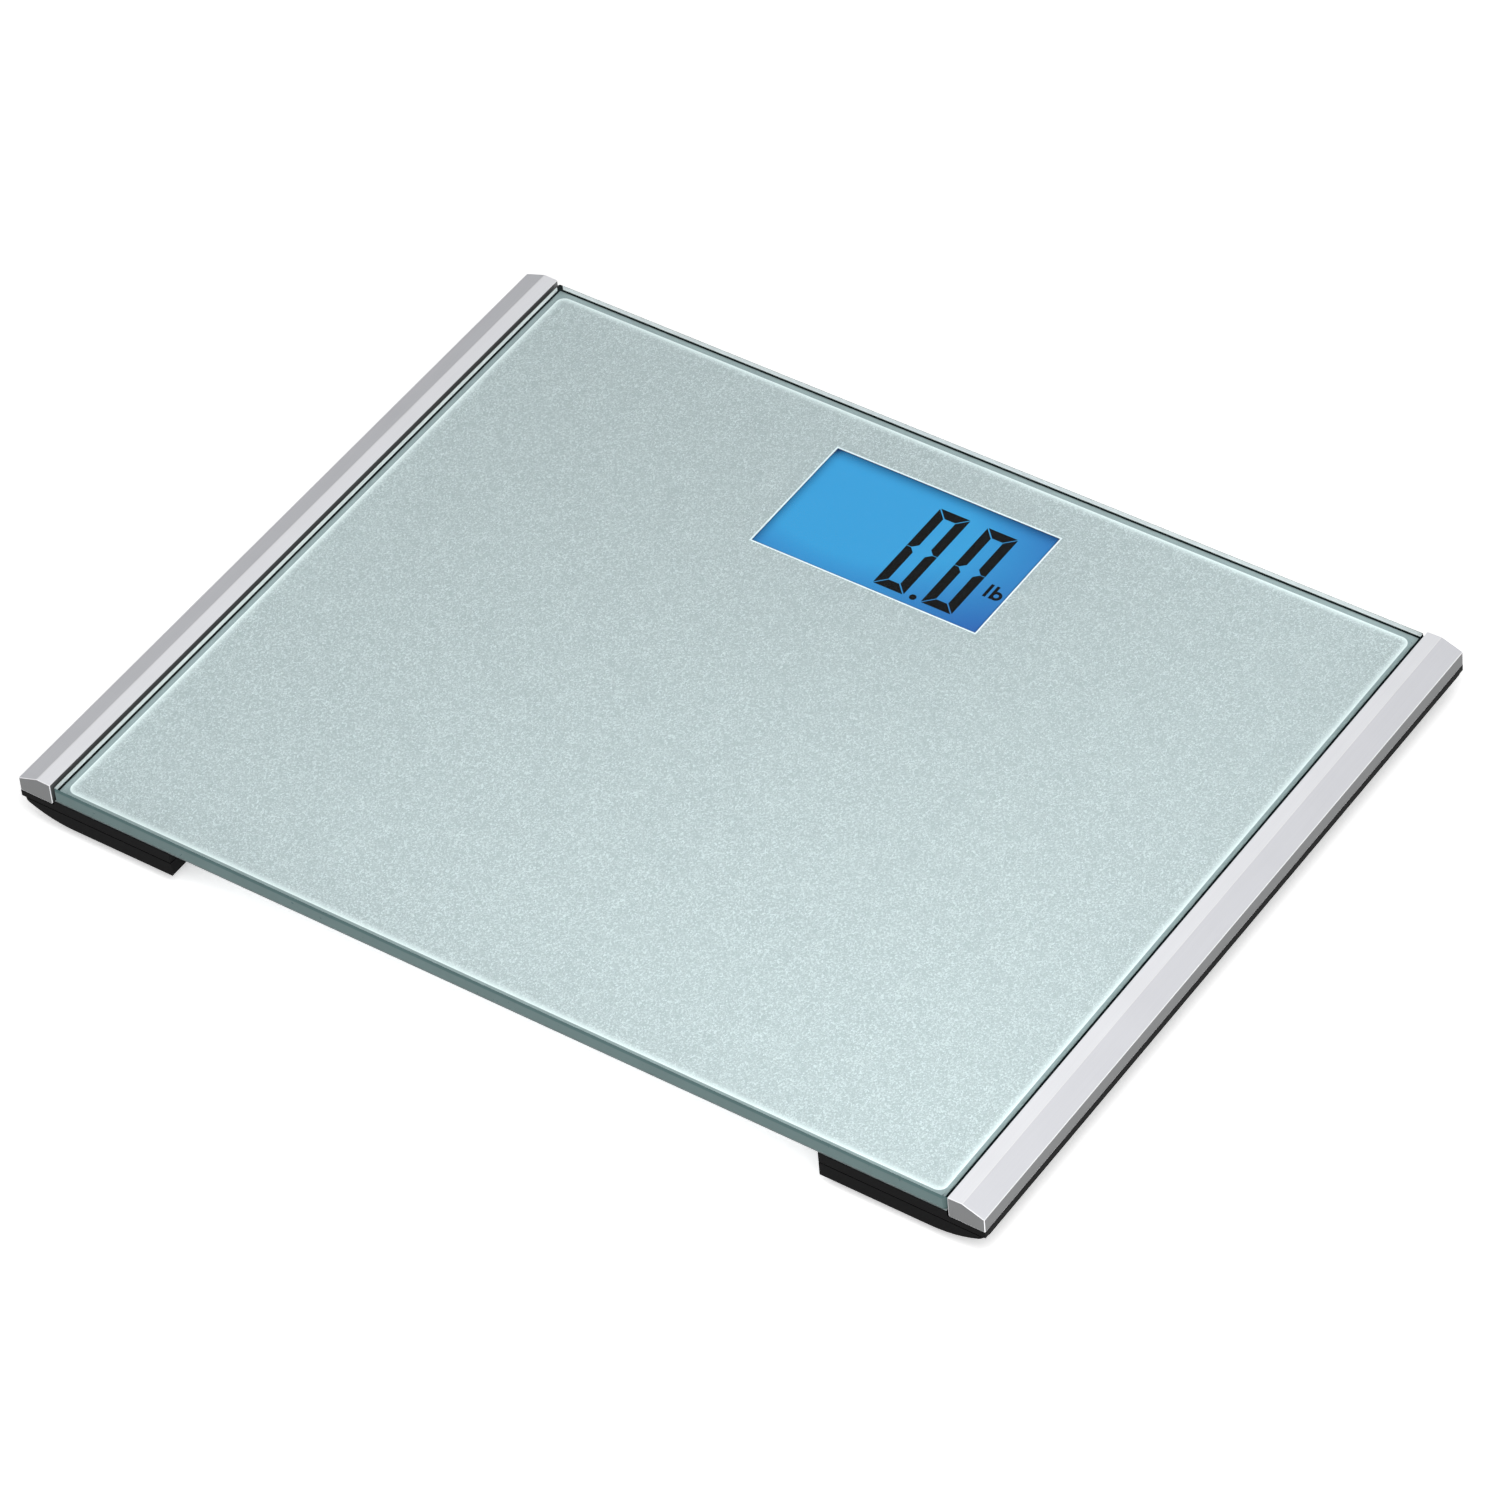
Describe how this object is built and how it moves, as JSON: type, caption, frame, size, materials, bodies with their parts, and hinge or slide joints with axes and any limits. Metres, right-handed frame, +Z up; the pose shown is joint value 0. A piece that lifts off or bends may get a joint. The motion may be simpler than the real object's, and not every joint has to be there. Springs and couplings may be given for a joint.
{
  "type": "digital bathroom scale",
  "caption": "Flat glass-topped digital body-weight scale with two side rails, a backlit window display and four load-sensing feet.",
  "frame": {"origin": "centre of the floor rectangle under the feet", "axes": "+X right and +Y away from a user who stands at the front edge, +Z up; the display is near the +Y edge"},
  "size_m": [0.4, 0.305, 0.0222],
  "materials": {
    "clear_glass": "polished tempered glass",
    "silver_print": "silver sparkle ink",
    "white_ink": "white ink line",
    "satin_rail": "satin silver",
    "black_plastic": "moulded, fine texture",
    "housing_plastic": "moulded, fine texture",
    "screw_steel": "zinc plated",
    "wire_jacket": "soft jacket",
    "black_foam": "closed-cell foam",
    "lcd_glass": "clear pane",
    "lcd_ink": "dark display strokes",
    "blue_backlight": "lit blue",
    "light_guide_plastic": "frosted",
    "led_resin": "clear resin",
    "elastomer": "soft",
    "board_laminate": "solder mask",
    "chip_resin": "resin glob",
    "switch_plastic": "moulded",
    "battery_wrap": "plain sleeve",
    "contact_nickel": "nickel plated",
    "button_plastic": "moulded",
    "foot_plastic": "moulded",
    "foot_rubber": "soft, matte",
    "cell_steel": "nickel plated",
    "gauge_film": "polyimide film",
    "silicone": "soft"
  },
  "bodies": {
    "platform": {"glass_platform": "clear_glass", "back_print": "silver_print", "window_border": "white_ink", "left_rail": "satin_rail", "right_rail": "satin_rail", "left_beam_shell": "black_plastic", "right_beam_shell": "black_plastic", "left_beam_cover": "black_plastic", "right_beam_cover": "black_plastic", "beam_screws": "screw_steel", "left_wire_harness": "wire_jacket", "right_wire_harness": "wire_jacket", "left_wire_duct": "black_plastic", "right_wire_duct": "black_plastic", "display_housing": "housing_plastic", "housing_cover": "housing_plastic", "housing_screws": "screw_steel", "lcd_gasket": "black_foam", "lcd_front_glass": "lcd_glass", "lcd_segments": "lcd_ink", "lcd_rear_glass": "blue_backlight", "light_guide": "light_guide_plastic", "backlight_leds": "led_resin", "zebra_strip": "elastomer", "circuit_board": "board_laminate", "board_screws": "screw_steel", "controller_chip": "chip_resin", "tact_switch": "switch_plastic", "battery_cells": "battery_wrap", "battery_contacts": "contact_nickel", "front_left_load_button": "silicone", "front_right_load_button": "silicone", "rear_left_load_button": "silicone", "rear_right_load_button": "silicone"},
    "battery_door": {"battery_door": "housing_plastic"},
    "unit_button": {"unit_button": "button_plastic"},
    "front_left_foot": {"front_left_foot": "foot_plastic", "front_left_rubber_pad": "foot_rubber", "front_left_load_cell": "cell_steel", "front_left_strain_gauge": "gauge_film"},
    "front_right_foot": {"front_right_foot": "foot_plastic", "front_right_rubber_pad": "foot_rubber", "front_right_load_cell": "cell_steel", "front_right_strain_gauge": "gauge_film"},
    "rear_left_foot": {"rear_left_foot": "foot_plastic", "rear_left_rubber_pad": "foot_rubber", "rear_left_load_cell": "cell_steel", "rear_left_strain_gauge": "gauge_film"},
    "rear_right_foot": {"rear_right_foot": "foot_plastic", "rear_right_rubber_pad": "foot_rubber", "rear_right_load_cell": "cell_steel", "rear_right_strain_gauge": "gauge_film"}
  },
  "joints": [
    {"name": "front_left_foot_press", "type": "slide", "parent": "platform", "child": "front_left_foot", "axis": [0, 0, 1], "range_m": [0, 0.0005], "stiffness_N_per_m": 1500, "springref_m": -0.006, "deforming": ["front_left_load_button"]},
    {"name": "front_right_foot_press", "type": "slide", "parent": "platform", "child": "front_right_foot", "axis": [0, 0, 1], "range_m": [0, 0.0005], "stiffness_N_per_m": 1500, "springref_m": -0.006, "deforming": ["front_right_load_button"]},
    {"name": "rear_left_foot_press", "type": "slide", "parent": "platform", "child": "rear_left_foot", "axis": [0, 0, 1], "range_m": [0, 0.0005], "stiffness_N_per_m": 1500, "springref_m": -0.006, "deforming": ["rear_left_load_button"]},
    {"name": "rear_right_foot_press", "type": "slide", "parent": "platform", "child": "rear_right_foot", "axis": [0, 0, 1], "range_m": [0, 0.0005], "stiffness_N_per_m": 1500, "springref_m": -0.006, "deforming": ["rear_right_load_button"]},
    {"name": "battery_door_slide", "type": "slide", "parent": "platform", "child": "battery_door", "axis": [0, -1, 0], "range_m": [0, 0.028]},
    {"name": "unit_button_press", "type": "slide", "parent": "platform", "child": "unit_button", "axis": [0, 0, 1], "range_m": [0, 0.0005], "stiffness_N_per_m": 300, "springref_m": -0.001}
  ]
}
